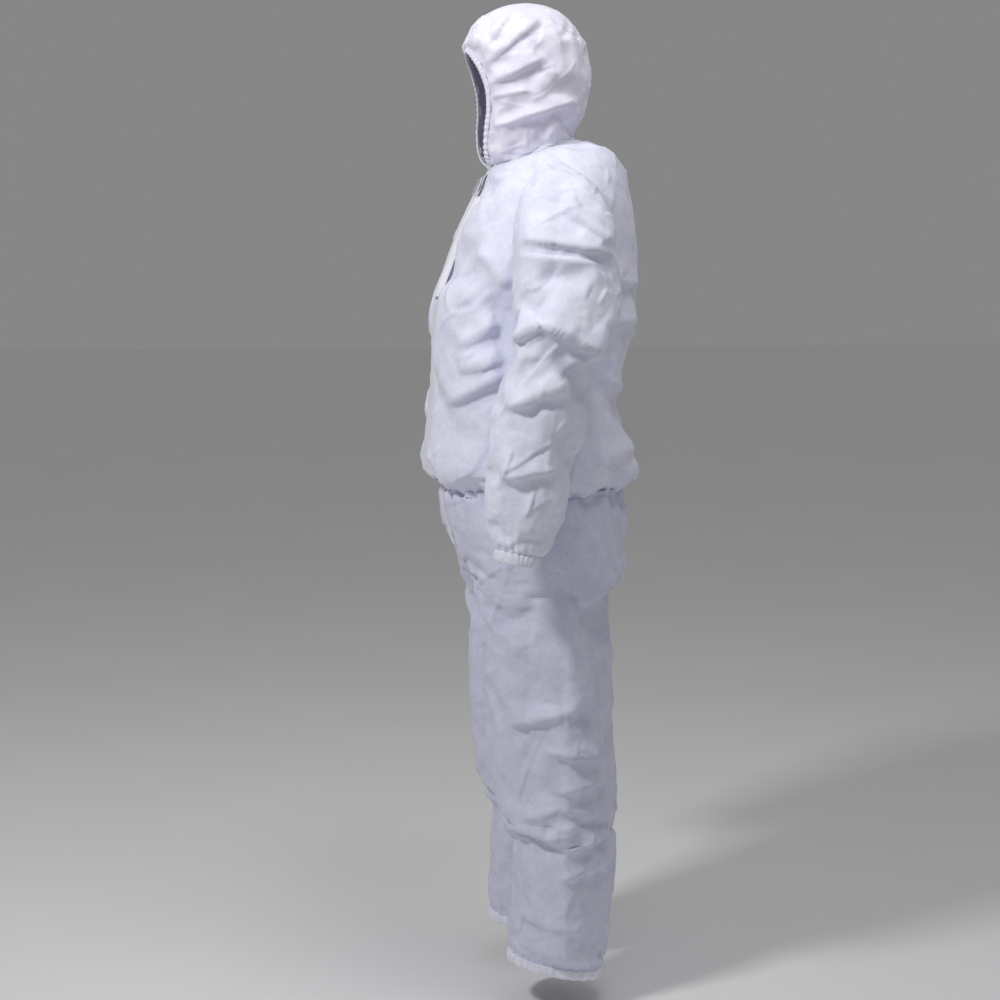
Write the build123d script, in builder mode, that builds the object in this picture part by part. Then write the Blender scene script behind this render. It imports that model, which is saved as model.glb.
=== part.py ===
# A hooded chemical-protective coverall in thin nonwoven cloth, shaped as it hangs on a standing wearer.
# Frame: millimetres, +Z up, the wearer faces -Y and the wearer's left side is +X.
# The origin is the centre of the neck seam, where the hood meets the bodice and the suit is carried.
import os
from math import cos, hypot, radians, sin, tan

from build123d import *

os.makedirs("parts", exist_ok=True)

# ---- driving dimensions ----
cloth = 1.4  # wall of the cloth solids
gap = 0.4  # half the clearance between pieces on different bodies

neck_tilt = 19.0  # the neck seam is low at the throat and high at the nape
waist_z = -612.0
crotch_z = -750.0
shoulder = (186.0, 4.0, -150.0)  # centre of the left armhole; its x is the armhole plane
armhole_clear = 140.0  # nothing of the bodice stands past the armhole plane within this radius
elbow = (288.0, -5.0, -372.0)
wrist = (301.0, -84.0, -706.0)  # centre of the cuff's open end
knee = (113.0, 22.0, -1112.0)
hip = (104.5, 15.0, crotch_z)
neck = (0.0, 15.0, 5.0)
hem_tilt = 12.0  # the ankle hem is high over the instep

elbow_bend = 75.0
hip_bend, hip_back = 35.0, 10.0
knee_bend = 50.0
hood_bend = 28.0

cuff_r, cuff_len = 33.0, 28.0
casing_wall = 3.1  # cloth, elastic and cloth again
hem_len = 20.0
tape_half = 13.0  # half width of the closed zipper
coil_half = 1.6
flap_inner, flap_outer = -20.0, 36.0  # the flap's free edge and its sewn edge, in x
flap_lift = 9.0  # the upper flap's inner face stands this far off the front
flap_top_z, flap_split_z = -62.0, -258.0
slide_top_z, slide_bottom_z = -52.0, -236.0
zip_bottom_z = -700.0
side_seam_y = 14.0

# (z, half width, half depth, centre y) of the bodice below the neck, down to the waist
bodice_rings = [
    (-45, 150, 124, 23),
    (-110, 186, 148.4, 22.6),
    (-264, 190, 179, -5),
    (-420, 200, 169, -23),
    (-556, 206, 192, -10),
    (waist_z, 196, 167, -7),
]
pelvis_rings = [(waist_z, 196, 167, -7), (-690, 211, 160, 2), (crotch_z, 207, 142, 13)]
# (z, centre x, centre y, half width, half depth) of the left leg, down to the hem
leg_rings = [
    (crotch_z, 104.5, 13, 102, 140),
    (-880, 108, 15, 100, 108),
    (-1100, 113, 20, 92, 112),
    (-1200, 116, 31, 84, 104),
    (-1300, 118, 40, 78, 92),
]
leg_hem = (-1490, 120, 28, 74, 86)
# (z, half width, half depth, centre y) of the hood above the neck seam
hood_rings = [
    (60, 90, 90, 2),
    (110, 97, 102, -2),
    (160, 98, 107, -6),
    (210, 88, 98, -12),
    (245, 64, 74, -12),
    (266, 20, 26, -8),
]
face_z, face_half_width, face_half_height = 98.0, 62.0, 84.0
face_hem = 11.0
hood_strip = 33.0  # half width of the hood's centre panel
far = 900.0


def level(z, y=0.0, x=0.0):
    return Plane(origin=(x, y, z), x_dir=(1, 0, 0), z_dir=(0, 0, 1))


def tilted(z, y, x, angle):
    """A level plane turned about X; positive angles lift its back edge."""
    return Plane(origin=(x, y, z), x_dir=(1, 0, 0), z_dir=(0, -sin(radians(angle)), cos(radians(angle))))


neck_ring = (tilted(0, 0, 0, neck_tilt), 84, 80)


def rings(table):
    return [(level(z, y), a, b) for z, a, b, y in table]


def oval(a, b):
    """An ellipse drawn as two arcs, so that every section starts at the same side."""
    with BuildSketch() as face:
        with BuildLine():
            EllipticalCenterArc((0, 0), a, b, 0, arc_size=180)
            EllipticalCenterArc((0, 0), a, b, 180, arc_size=180)
        make_face()
    return face.sketch


def stage(low, high, outside, wall, sink):
    """One hollow length of a tube, straight from one elliptical section to the next."""
    with BuildPart() as length:
        for plane, a, b in (low, high):
            with BuildSketch(plane):
                add(oval(a + outside, b + outside))
        loft()
        for plane, a, b in (low, (high[0].offset(-sink), high[1], high[2])):
            with BuildSketch(plane):
                add(oval(a + outside - wall, b + outside - wall))
        loft(mode=Mode.SUBTRACT)
    return length.part


def tube(sections, outside=0.0, wall=cloth, closed=False):
    """A hollow tube through elliptical sections, its outer face grown by outside."""
    with BuildPart() as shell:
        for index in range(len(sections) - 1):
            last = index == len(sections) - 2
            add(stage(sections[index], sections[index + 1], outside, wall, wall if closed and last else 0))
    return shell.part


def fold(pivot, front, back, tilt=0.0, spare=0.0):
    """A bow-tie prism along X about a pivot; each side opens by the bend it must leave room for."""
    reach = 300.0
    tip = gap - spare
    with BuildPart() as bow:
        for side, bend in ((-1, front), (1, back)):
            half = bend / 2 + 1.5 if bend else 0
            rise = tip + reach * tan(radians(half))
            with BuildSketch(Plane(origin=(-400, pivot[1], pivot[2]), x_dir=(0, 1, 0), z_dir=(1, 0, 0))):
                with BuildLine():
                    Polyline((0, -tip), (side * reach, -rise), (side * reach, rise), (0, tip), close=True)
                make_face()
            extrude(amount=800)
    turned = Location((0, pivot[1], pivot[2])) * Location((0, 0, 0), (tilt, 0, 0))
    return bow.part.moved(turned * Location((0, -pivot[1], -pivot[2])))


def block(low, high):
    """A box between two corners, for keeping or cutting a stretch of a shell."""
    size = [b - a for a, b in zip(low, high)]
    middle = [(a + b) / 2 for a, b in zip(low, high)]
    return Box(*size, mode=Mode.PRIVATE).moved(Location(middle))


def carve(shell, inside=(), without=()):
    """What of a shell lies inside each of some solids and outside the others."""
    with BuildPart() as piece:
        add(shell)
        for solid in inside:
            add(solid, mode=Mode.INTERSECT)
        for solid in without:
            add(solid, mode=Mode.SUBTRACT)
    return piece.part


finished = {}


def keep(name, solid):
    """File a piece under its name."""
    with BuildPart() as piece:
        add(solid)
    piece.part.label = name
    finished[name] = piece.part


def keep_pair(name, solid):
    """File a left piece and its mirror image on the right."""
    keep(f"left_{name}", solid)
    keep(f"right_{name}", solid.mirror(Plane.YZ))


def band_face(a, b, inner):
    """The flat face between an oval and the same oval shrunk; round where the oval is a circle."""
    with BuildSketch() as face:
        if a == b:
            Circle(a)
            Circle(a - inner, mode=Mode.SUBTRACT)
        else:
            Ellipse(a, b)
            Ellipse(a - inner, b - inner, mode=Mode.SUBTRACT)
    return face.sketch


def casing(plane, a, b, length):
    """A folded hem with a channel for its elastic, from a plane along the plane's normal."""
    with BuildPart() as hem:
        with BuildSketch(plane):
            add(band_face(a, b, casing_wall))
        extrude(amount=length)
        with BuildSketch(plane):
            add(band_face(a - 0.9, b - 0.9, 1.3))
        extrude(amount=length - 1.0, mode=Mode.SUBTRACT)
    return hem.part


def elastic(plane, a, b, length):
    """The ring of elastic inside a casing."""
    with BuildPart() as ring:
        with BuildSketch(plane.offset(0.8)):
            add(band_face(a - 1.0, b - 1.0, 1.1))
        extrude(amount=length - 2.6)
    return ring.part


# ---- bodice, from the neck seam to the waist ----
bodice_sections = [neck_ring] + rings(bodice_rings)
bodice = tube(bodice_sections)
neck_fold = fold(neck, 0, hood_bend, neck_tilt)
neck_filler = fold(neck, 0, hood_bend, neck_tilt, spare=0.3)
with BuildPart() as armholes:
    for side in (1, -1):
        with BuildSketch(Plane.YZ.offset(side * shoulder[0])):
            with Locations((shoulder[1], shoulder[2])):
                Circle(armhole_clear)
        extrude(amount=side * 200)
left_front = block((tape_half, -far, -far), (far, side_seam_y, far))
right_front = block((-far, -far, -far), (-tape_half, side_seam_y, far))
back_half = block((-far, side_seam_y, -far), (far, far, far))
keep("front_left_panel", carve(bodice, [left_front], [armholes.part, neck_fold]))
keep("front_right_panel", carve(bodice, [right_front], [armholes.part, neck_fold]))
keep("back_panel", carve(bodice, [back_half], [armholes.part, neck_fold]))
with BuildPart() as neck_slab:
    with BuildSketch(tilted(0, 0, 0, neck_tilt)):
        Circle(200)
    extrude(amount=-16)
lining = tube(bodice_sections, outside=-cloth - 0.3, wall=0.9)
keep("neck_binding", carve(lining, [neck_slab.part], [neck_fold]))
with BuildPart() as size_label:
    with Locations((0, 166.5, -150)):
        Box(42, 0.5, 30)
keep("size_label", size_label.part)

# ---- trouser top and waist elastic ----
pelvis = tube(rings(pelvis_rings))
hip_fold = fold(hip, hip_bend, hip_back)
hip_filler = fold(hip, hip_bend, hip_back, spare=0.3)
above_crotch = block((-far, -far, crotch_z), (far, far, far))
below_crotch = block((-far, -far, -far), (far, far, crotch_z - gap))
keep("belly_left_panel", carve(pelvis, [left_front], [hip_fold]))
keep("belly_right_panel", carve(pelvis, [right_front], [hip_fold]))
keep("seat_panel", carve(pelvis, [back_half], [hip_fold]))
zip_lane = block((-tape_half, -far, -far), (tape_half, 0, 0))
keep("pelvis_pleat", carve(pelvis, [hip_filler, above_crotch], [zip_lane]))
waist_band = tube(rings(pelvis_rings), outside=-cloth - 0.3, wall=1.2)
keep("waist_elastic", carve(waist_band, [block((-far, -far, waist_z - 16), (far, far, waist_z - 1))]))
with BuildPart() as gusset:
    with BuildSketch(Plane.XY.offset(crotch_z + gap)):
        with Locations((0, pelvis_rings[-1][3])):
            Ellipse(pelvis_rings[-1][1] - cloth - 0.2, pelvis_rings[-1][2] - cloth - 0.2)
        with Locations((leg_rings[0][1], leg_rings[0][2]), (-leg_rings[0][1], leg_rings[0][2])):
            Ellipse(leg_rings[0][3] + 0.7, leg_rings[0][4] + 0.7, mode=Mode.SUBTRACT)
    extrude(amount=cloth)
keep("crotch_gusset", carve(gusset.part, [block((-60, -far, -far), (60, far, far))]))

# ---- zipper down the front: two tapes, two coils, stops ----
zip_top_z = -30.0
front_path = [(bodice_sections, waist_z, zip_top_z), (rings(pelvis_rings), zip_bottom_z, waist_z)]


def front_strip(outside, wall, low_x, high_x, low_z=-far, high_z=far):
    """A strip down the front centre that follows the bodice and then the belly."""
    with BuildPart() as strip:
        for sections, low, high in front_path:
            floor_z = max(low, low_z)
            top_z = min(high, high_z)
            if top_z > floor_z:
                lane = block((low_x, -far, floor_z), (high_x, 0, top_z))
                add(carve(tube(sections, outside, wall), [lane]))
    return strip.part


keep("zipper_tape_left", front_strip(0, 1.0, coil_half + 0.05, tape_half))
keep("zipper_tape_right", front_strip(0, 1.0, -tape_half, -coil_half - 0.05))
keep("zipper_coil_left", front_strip(0.5, 1.8, 0.05, coil_half))
keep("zipper_coil_right", front_strip(0.5, 1.8, -coil_half, -0.05))
keep("flap_lower", front_strip(2.2, cloth, flap_inner, flap_outer, -716, flap_split_z - 2))


def front_y(z):
    """The bodice's front centre line at a height, straight between its rings."""
    line = [(-80 * sin(radians(neck_tilt)), -80 * cos(radians(neck_tilt)))]
    line += [(ring_z, y - b) for ring_z, a, b, y in bodice_rings]
    for (z1, y1), (z0, y0) in zip(line, line[1:]):
        if z0 <= z <= z1:
            return y0 + (y1 - y0) * (z - z0) / (z1 - z0)
    return line[-1][1]


with BuildPart() as bottom_stop:
    with Locations((0, rings(pelvis_rings)[1][0].origin.Y - pelvis_rings[1][2] + 2.0, zip_bottom_z - 2.2)):
        Box(4.6, 2.6, 3.6)
keep("zipper_bottom_stop", bottom_stop.part)

# ---- slider, pull and upper storm flap, all laid along the straight upper front ----
run = Vector(0, front_y(slide_bottom_z) - front_y(slide_top_z), slide_bottom_z - slide_top_z).normalized()
outward = Vector(0, run.Z, -run.Y)


def on_front(z, off):
    """A plane facing out of the front at a height, its local Y running up the zipper."""
    origin = Vector(0, front_y(z), z) + outward * off
    return Plane(origin=origin, x_dir=(1, 0, 0), z_dir=outward)


with BuildPart() as top_stops:
    with BuildSketch(on_front(slide_top_z + 8.4, 1.2)):
        with Locations((1.3, 0), (-1.3, 0)):
            Rectangle(2.2, 2.4)
    extrude(amount=1.3)
keep("zipper_top_stops", top_stops.part)
with BuildPart() as slider:
    with BuildSketch(on_front(slide_top_z, 1.1)):
        Trapezoid(8.4, 12.5, 98)
    extrude(amount=1.3)
    with BuildSketch(on_front(slide_top_z, 2.4)):
        with Locations((2.1, 2.5), (-2.1, 2.5)):
            Rectangle(1.0, 2.4)
    extrude(amount=2.6)
    with BuildSketch(on_front(slide_top_z, 5.0)):
        with Locations((0, 2.5)):
            Rectangle(5.2, 2.4)
    extrude(amount=0.7)
keep("zipper_slider", slider.part)
pin_plane = on_front(slide_top_z, 3.7)
pin_point = pin_plane.from_local_coords(Vector(0, 2.5, 0))
with BuildPart() as pull:
    with BuildSketch(Plane(origin=pin_point - outward * 0.7, x_dir=(1, 0, 0), z_dir=outward)):
        with Locations((0, -6.0)):
            Rectangle(2.4, 13.0)
        with Locations((0, -18.5)):
            RectangleRounded(6.5, 17.0, 1.6)
        with Locations((0, -21.5)):
            Circle(1.3, mode=Mode.SUBTRACT)
    extrude(amount=1.4)
keep("zipper_pull", pull.part)

flap_run = Vector(0, front_y(flap_split_z) - front_y(flap_top_z), flap_split_z - flap_top_z)
flap_plane = Plane(origin=on_front(flap_top_z, flap_lift).origin, x_dir=(1, 0, 0), z_dir=outward)
with BuildPart() as flap_upper:
    with BuildSketch(flap_plane):
        with BuildLine():
            Polyline(
                (flap_inner, 0),
                (flap_outer, 0),
                (flap_outer, -flap_run.length),
                (flap_inner, -flap_run.length),
                close=True,
            )
        make_face()
    extrude(amount=cloth)
keep("flap_upper", flap_upper.part)
with BuildPart() as flap_tape:
    with BuildSketch(flap_plane.offset(-0.5)):
        with Locations((flap_inner + 6, -flap_run.length / 2)):
            Rectangle(9, flap_run.length - 12)
    extrude(amount=0.4)
keep("flap_tape", flap_tape.part)
with BuildPart() as flap_root:
    with BuildSketch(flap_plane.offset(-flap_lift - 2.4)):
        with Locations((flap_outer + 4, -flap_run.length / 2)):
            Rectangle(2.0, flap_run.length)
    extrude(amount=flap_lift + 2.4 + cloth)
keep("flap_root", carve(flap_root.part, [], [carve(bodice, [left_front])]))

# ---- sleeves ----
forearm = (Vector(*wrist) - Vector(*elbow)).normalized()
cuff_start = Vector(*wrist) - forearm * cuff_len


def chord(inner, outer, y, half_depth):
    """A sleeve section parallel to Y, from its inner edge to its outer edge in XZ."""
    dx, dz = outer[0] - inner[0], outer[1] - inner[1]
    middle = ((inner[0] + outer[0]) / 2, y, (inner[1] + outer[1]) / 2)
    return (Plane(origin=middle, x_dir=(dx, 0, dz), z_dir=(dz, 0, -dx)), hypot(dx, dz) / 2, half_depth)


def forearm_plane(share):
    """A plane square to the forearm, this share of the way from the elbow to the cuff."""
    middle = Vector(*elbow) + (cuff_start - Vector(*elbow)) * share
    across = (Vector(1, 0, 0) - forearm * forearm.X).normalized()
    return Plane(origin=middle, x_dir=across, z_dir=forearm)


armhole_x = shoulder[0] + 1.0
sleeve_sections = [
    chord((armhole_x, -266), (armhole_x, -36), 4, 96),
    chord((192, -271), (262, -76), 4, 95),
    chord((198, -284), (306, -168), 3, 92),
    chord((206, -310), (331, -272), 1, 88),
    chord((elbow[0] - 68, elbow[2]), (elbow[0] + 66, elbow[2]), elbow[1], 82),
    (forearm_plane(0.45), 62, 73),
    (forearm_plane(0.8), 50, 58),
    (forearm_plane(1.0), cuff_r + casing_wall, cuff_r + casing_wall),
]
sleeve = tube(sleeve_sections)
elbow_fold = fold(elbow, elbow_bend, 0)
elbow_filler = fold(elbow, elbow_bend, 0, spare=0.3)
above_elbow = block((10, -far, elbow[2] + 0.13), (far, far, far))
below_elbow = block((10, -far, -far), (far, far, elbow[2] - 0.17))
keep_pair("sleeve_upper", carve(sleeve, [above_elbow], [elbow_fold]))
keep_pair("sleeve_lower", carve(sleeve, [below_elbow], [elbow_fold]))
keep_pair("elbow_pleat", carve(sleeve, [elbow_filler, block((10, -far, -far), (far, elbow[1] - 1.5, far))]))
keep_pair("cuff", casing(forearm_plane(1.0), cuff_r + casing_wall, cuff_r + casing_wall, cuff_len))
keep_pair("cuff_elastic", elastic(forearm_plane(1.0), cuff_r + casing_wall, cuff_r + casing_wall, cuff_len))

# ---- legs ----
hem_z, hem_x, hem_y, hem_a, hem_b = leg_hem
hem_plane = tilted(hem_z, hem_y, hem_x, -hem_tilt)
hem_top = hem_plane.offset(hem_len)
leg_sections = [(level(z, y, x), a, b) for z, x, y, a, b in leg_rings] + [(hem_top, hem_a, hem_b)]
leg = tube(leg_sections)
knee_fold = fold(knee, 0, knee_bend)
knee_filler = fold(knee, 0, knee_bend, spare=0.3)
above_knee = block((0, -far, knee[2]), (far, far, far))
below_knee = block((0, -2 * far, -2 * far), (far, 2 * far, knee[2]))
front_of_seam = block((0, -far, -2 * far), (far, side_seam_y + 4, 0))
back_of_seam = block((0, side_seam_y + 4, -2 * far), (far, far, 0))
keep_pair("thigh_front", carve(leg, [above_knee, front_of_seam], [hip_fold, knee_fold]))
keep_pair("thigh_back", carve(leg, [above_knee, back_of_seam], [hip_fold, knee_fold]))
keep_pair("shin_front", carve(leg, [below_knee, front_of_seam], [knee_fold]))
keep_pair("shin_back", carve(leg, [below_knee, back_of_seam], [knee_fold]))
keep_pair("hip_pleat", carve(leg, [hip_filler, below_crotch]))
keep_pair("knee_pleat", carve(leg, [knee_filler, block((0, knee[1] + 1.5, -2 * far), (far, far, 0))]))
down = Plane(origin=hem_top.origin, x_dir=(1, 0, 0), z_dir=-hem_top.z_dir)
keep_pair("ankle_casing", casing(down, hem_a, hem_b, hem_len))
keep_pair("ankle_elastic", elastic(down, hem_a, hem_b, hem_len))

# ---- hood ----
hood_sections = [neck_ring] + rings(hood_rings)
hood = tube(hood_sections, closed=True)


def face_prism(grow):
    """The face opening as a prism through the front of the hood, grown by some millimetres."""
    with BuildPart() as prism:
        with BuildSketch(Plane.XZ.offset(20)):
            with Locations((0, face_z)):
                Ellipse(face_half_width + grow, face_half_height + grow)
        extrude(amount=300)
    return prism.part


face_hole = face_prism(0)
crown_strip = block((-hood_strip, -20, -far), (hood_strip, far, far))
brow_strip = block((-hood_strip, -far, face_z), (hood_strip, -20, far))
hood_left_side = block((0.3, -far, -far), (far, far, far))
hood_right_side = block((-far, -far, -far), (-0.3, far, far))
without_strip = [neck_fold, face_hole, crown_strip, brow_strip]
keep("hood_left_panel", carve(hood, [hood_left_side], without_strip))
keep("hood_right_panel", carve(hood, [hood_right_side], without_strip))
centre = block((-hood_strip, -far, -far), (hood_strip, far, far))
below_brow = block((-far, -far, -far), (far, -20, face_z))
keep("hood_centre_panel", carve(hood, [centre], [neck_fold, face_hole, below_brow]))
face_rim = [face_prism(face_hem)]
keep("face_casing", carve(tube(hood_sections, 1.3, 1.2), face_rim, [face_hole, neck_fold]))
keep("face_elastic", carve(tube(hood_sections, -cloth - 0.3, 1.1), [face_prism(face_hem - 2)], [face_prism(2), neck_fold]))
nape_half = block((-far, neck[1] + 1.5, -far), (far, far, far))
nape = carve(tube([neck_ring] + rings(bodice_rings[:2])), [neck_filler, nape_half])
with BuildPart() as neck_pleat:
    add(nape)
    add(carve(hood, [neck_filler, nape_half]))
keep("neck_pleat", neck_pleat.part)

for name, part in finished.items():
    export_step(part, f"parts/{name}.step")
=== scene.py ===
import math

import bpy
import numpy as np
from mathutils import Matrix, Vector


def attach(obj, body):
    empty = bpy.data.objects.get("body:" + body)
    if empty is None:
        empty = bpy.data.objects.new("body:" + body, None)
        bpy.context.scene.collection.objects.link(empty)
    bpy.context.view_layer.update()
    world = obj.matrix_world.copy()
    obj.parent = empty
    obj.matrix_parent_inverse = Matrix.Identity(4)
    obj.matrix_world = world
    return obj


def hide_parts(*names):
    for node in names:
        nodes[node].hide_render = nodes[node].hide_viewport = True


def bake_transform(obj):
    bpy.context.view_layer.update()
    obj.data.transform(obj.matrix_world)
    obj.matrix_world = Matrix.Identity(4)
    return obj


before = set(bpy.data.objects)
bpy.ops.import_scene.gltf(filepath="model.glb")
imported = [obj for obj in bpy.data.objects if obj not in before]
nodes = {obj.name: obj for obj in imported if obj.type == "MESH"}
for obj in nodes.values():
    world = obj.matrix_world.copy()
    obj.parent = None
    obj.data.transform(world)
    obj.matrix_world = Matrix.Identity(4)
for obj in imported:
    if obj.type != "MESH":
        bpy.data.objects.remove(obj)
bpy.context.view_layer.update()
print("frame loaded:", len(nodes), "nodes")

# small tools shared by every piece


def smoothStep(x, low, high):
    # 0 below low, 1 above high, with an S-shaped ramp between
    t = np.clip((x - low) / (high - low), 0.0, 1.0)
    return t * t * (3 - 2 * t)


def throughRows(rows, at):
    # a smooth curve through each column of a table, read at the values of its first column
    table = np.array(rows, dtype=float)
    x, y = table[:, 0], table[:, 1:]
    if x[0] > x[-1]:
        x, y = x[::-1], y[::-1]
    step = np.diff(x)[:, None]
    rise = np.diff(y, axis=0) / step
    between = (rise[:-1] * step[1:] + rise[1:] * step[:-1]) / (step[1:] + step[:-1])
    slope = np.vstack([rise[:1], between, rise[-1:]])
    shape = np.shape(at)
    at = np.clip(np.ravel(at), x[0], x[-1])
    i = np.clip(np.searchsorted(x, at, side="right") - 1, 0, len(x) - 2)
    h = (x[i + 1] - x[i])[:, None]
    t = ((at - x[i])[:, None]) / h
    h00, h10 = 2 * t**3 - 3 * t**2 + 1, t**3 - 2 * t**2 + t
    h01, h11 = -2 * t**3 + 3 * t**2, t**3 - t**2
    out = h00 * y[i] + h10 * h * slope[i] + h01 * y[i + 1] + h11 * h * slope[i + 1]
    return out.T.reshape((-1,) + shape)


def waves(p, seed, wavelength, count=7, sharp=False):
    # plane waves in random directions: the mean of their sines gives soft swells, and with sharp,
    # half the highest saw plus half the lowest gives flat facets
    rng = np.random.default_rng(seed)
    way = rng.normal(size=(count, 3))
    way /= np.linalg.norm(way, axis=1, keepdims=True)
    length = wavelength * rng.uniform(0.65, 1.5, count)
    start = rng.uniform(0, 1, count)
    turns = p @ (way / length[:, None]).T + start
    if sharp:
        saw = 4 * np.abs(turns - np.floor(turns) - 0.5) - 1
        return 0.5 * (saw[..., ::2].max(axis=-1) + saw[..., 1::2].min(axis=-1))
    return np.sin(2 * np.pi * turns).mean(axis=-1)


def crumple(p, seed, wavelength):
    # creased-paper relief: facets whose lines wander, fading in and out over the cloth
    drift = np.stack([waves(p, seed + k, 1.7 * wavelength) for k in (1, 2, 3)], axis=-1)
    bent = p + 0.16 * wavelength * drift
    mask = smoothStep(waves(p, seed + 9, 1.9 * wavelength), -0.25, 0.3)
    return waves(bent, seed, wavelength, 6, True) * (0.25 + 0.75 * mask)


def foldLines(p, seed, spacing, height):
    # short crisp folds: each rises slowly, drops over a few millimetres and fades out at its ends
    rng = np.random.default_rng(seed)
    out = np.zeros(p.shape[:-1])
    for k in range(4):
        way = rng.normal(size=3)
        way *= rng.uniform(0.7, 1.4) / (np.linalg.norm(way) * spacing)
        drift = np.stack([waves(p, seed + 10 * k + j, 1.6 * spacing) for j in (1, 2, 3)], axis=-1)
        bent = p + 0.2 * spacing * drift
        turns = bent @ way + rng.uniform(0, 1)
        share = turns - np.floor(turns)
        fade = smoothStep(waves(p, seed + 10 * k + 7, 0.9 * spacing, 5), 0.08, 0.42)
        out += share**6 * (1 - smoothStep(share, 0.94, 1.0)) * fade
    return height * out


def creaseLines(p, n, lines, sideSign=1.0):
    # creases along straight lines on one side of the wearer, seen square from that side, each
    # (y, z of its front end, y, z of its back end, height, reach above, reach below) in metres;
    # the height falls off exponentially on either side of the line
    out = np.zeros(p.shape[:-1])
    facing = smoothStep(n[..., 0] * sideSign, 0.0, 0.35)
    for y0, z0, y1, z1, height, above, below in lines:
        size = math.hypot(y1 - y0, z1 - z0)
        wy, wz = (y1 - y0) / size, (z1 - z0) / size
        dy, dz = p[..., 1] - y0, p[..., 2] - z0
        t = (dy * wy + dz * wz) / size
        side = dy * wz - dz * wy
        fade = smoothStep(t, -0.12, 0.18) * smoothStep(1 - t, -0.12, 0.18)
        d = np.where(side > 0, side / below, -side / above)
        out += height * np.exp(-np.sqrt(d * d + 0.003) + 0.05) * fade
    return out * facing


def creasesBothSides(p, n, lines):
    # the same creases on the wearer's left and right
    return creaseLines(p, n, lines) + creaseLines(p, n, lines, -1.0)


def fineRelief(p, cut, seeds, squeeze=(1, 1, 1)):
    # what is left to add once the cloth has settled: facets, small crinkles and short crisp folds
    facetHeight, facetWidth = cut["facets"]
    crinkleHeight, crinkleWidth = cut["crinkles"]
    foldSpacing, foldHeight = cut["folds"]
    out = facetHeight * crumple(p * np.array(squeeze), seeds[0], facetWidth)
    out += crinkleHeight * crumple(p, seeds[1], crinkleWidth)
    return out + foldLines(p, seeds[2], foldSpacing, foldHeight)


def gridNormals(p):
    # unit normals of a grid that closes round its second axis, pointing away from its middle line
    du = np.roll(p, -1, 1) - np.roll(p, 1, 1)
    dv = np.gradient(p, axis=0)
    n = np.cross(du, dv)
    n /= np.maximum(np.linalg.norm(n, axis=-1, keepdims=True), 1e-9)
    if (n * (p - p.mean(axis=1, keepdims=True))).sum() < 0:
        n = -n
    return n


insideSuit = np.array([0, 0.02, -0.3])  # open strips face away from this point


def gridMesh(name, p, material, closed=True, dropped=None, cap=False):
    # quads over a grid of points: the first axis runs along the piece, the second round it;
    # the map clothWay holds metres along and round the cloth
    rows, cols = p.shape[:2]
    index = np.arange(rows * cols).reshape(rows, cols)
    right = np.roll(index, -1, 1) if closed else index[:, 1:]
    left = index if closed else index[:, :-1]
    quads = np.stack([left[:-1], right[:-1], right[1:], left[1:]], axis=-1)
    if dropped is not None:
        quads = quads[~dropped]
    quads = quads.reshape(-1, 4)
    corners = p.reshape(-1, 3)[quads]
    n = np.cross(corners[:, 2] - corners[:, 0], corners[:, 3] - corners[:, 1])
    middle = p.mean(axis=1)[quads[:, 0] // cols] if closed else insideSuit
    flip = (n * (corners.mean(axis=1) - middle)).sum() < 0
    faces = (quads[:, ::-1] if flip else quads).tolist()
    points = p.reshape(-1, 3)
    if cap:
        # one point closes the pole at the last ring
        points = np.vstack([points, p[-1].mean(axis=0)])
        fan = np.stack([index[-1], right[-1], np.full(cols, rows * cols)], axis=-1)
        faces += (fan[:, ::-1] if flip else fan).tolist()
    lengthWay = np.linalg.norm(np.diff(p, axis=0), axis=-1).mean(axis=1)
    roundWay = np.linalg.norm(np.diff(p, axis=1), axis=-1).mean(axis=0)
    vMap = np.concatenate([[0], np.cumsum(lengthWay), [lengthWay.sum()]])  # the last value is the pole's
    uMap = np.concatenate([[0], np.cumsum(roundWay)])
    mesh = bpy.data.meshes.new(name)
    mesh.from_pydata(points.tolist(), [], faces)
    uv = mesh.uv_layers.new(name="clothWay")
    loops = np.empty(len(mesh.loops), dtype=np.int32)
    mesh.loops.foreach_get("vertex_index", loops)
    uv.data.foreach_set("uv", np.stack([uMap[loops % cols], vMap[loops // cols]], axis=-1).ravel())
    mesh.polygons.foreach_set("use_smooth", np.ones(len(mesh.polygons), dtype=bool))
    mesh.materials.append(material)
    mesh.update()
    obj = bpy.data.objects.new(name, mesh)
    bpy.context.scene.collection.objects.link(obj)
    return obj


wallSettings = {"cloth": 0.0004, "flap": 0.0008, "seam": 0.0005, "tape": 0.0003, "label": 0.0003}


def thicken(obj, kind):
    # an even wall, grown inwards from the surface
    wall = obj.modifiers.new("wall", "SOLIDIFY")
    wall.thickness = wallSettings[kind]
    wall.offset = -1.0
    # the wide faces set the shading, so that the cut edges don't darken the rim
    even = obj.modifiers.new("even", "WEIGHTED_NORMAL")
    even.mode = "FACE_AREA"
    even.weight = 100


def mirrored(p):
    # the wearer's other side: x changes sign
    return p * np.array([-1.0, 1.0, 1.0])


def refine(a, length, factor, wrapped):
    # a cubic through the samples of the first axis, read at factor points for each of them
    at = np.arange(length) / factor
    i = np.floor(at).astype(int)
    t = (at - i)[:, None, None]
    last = len(a) - 1
    a0, a1, a2, a3 = (a[(i + k) % len(a)] if wrapped else a[np.clip(i + k, 0, last)] for k in (-1, 0, 1, 2))
    out = 2 * a1 + (a2 - a0) * t
    out = out + (2 * a0 - 5 * a1 + 4 * a2 - a3) * t**2
    return 0.5 * (out + (3 * a1 - a0 - 3 * a2 + a3) * t**3)


settleSettings = {
    "step": 7,  # grid points to one point of the simulated net
    "frames": 22,
    "quality": 4,
    "pinLevels": 20,
    "stiffness": 40.0,
    "bending": 5.0,
    "mass": 0.15,
    "gravity": 0.12,
    "damping": 3.0,
}


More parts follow.
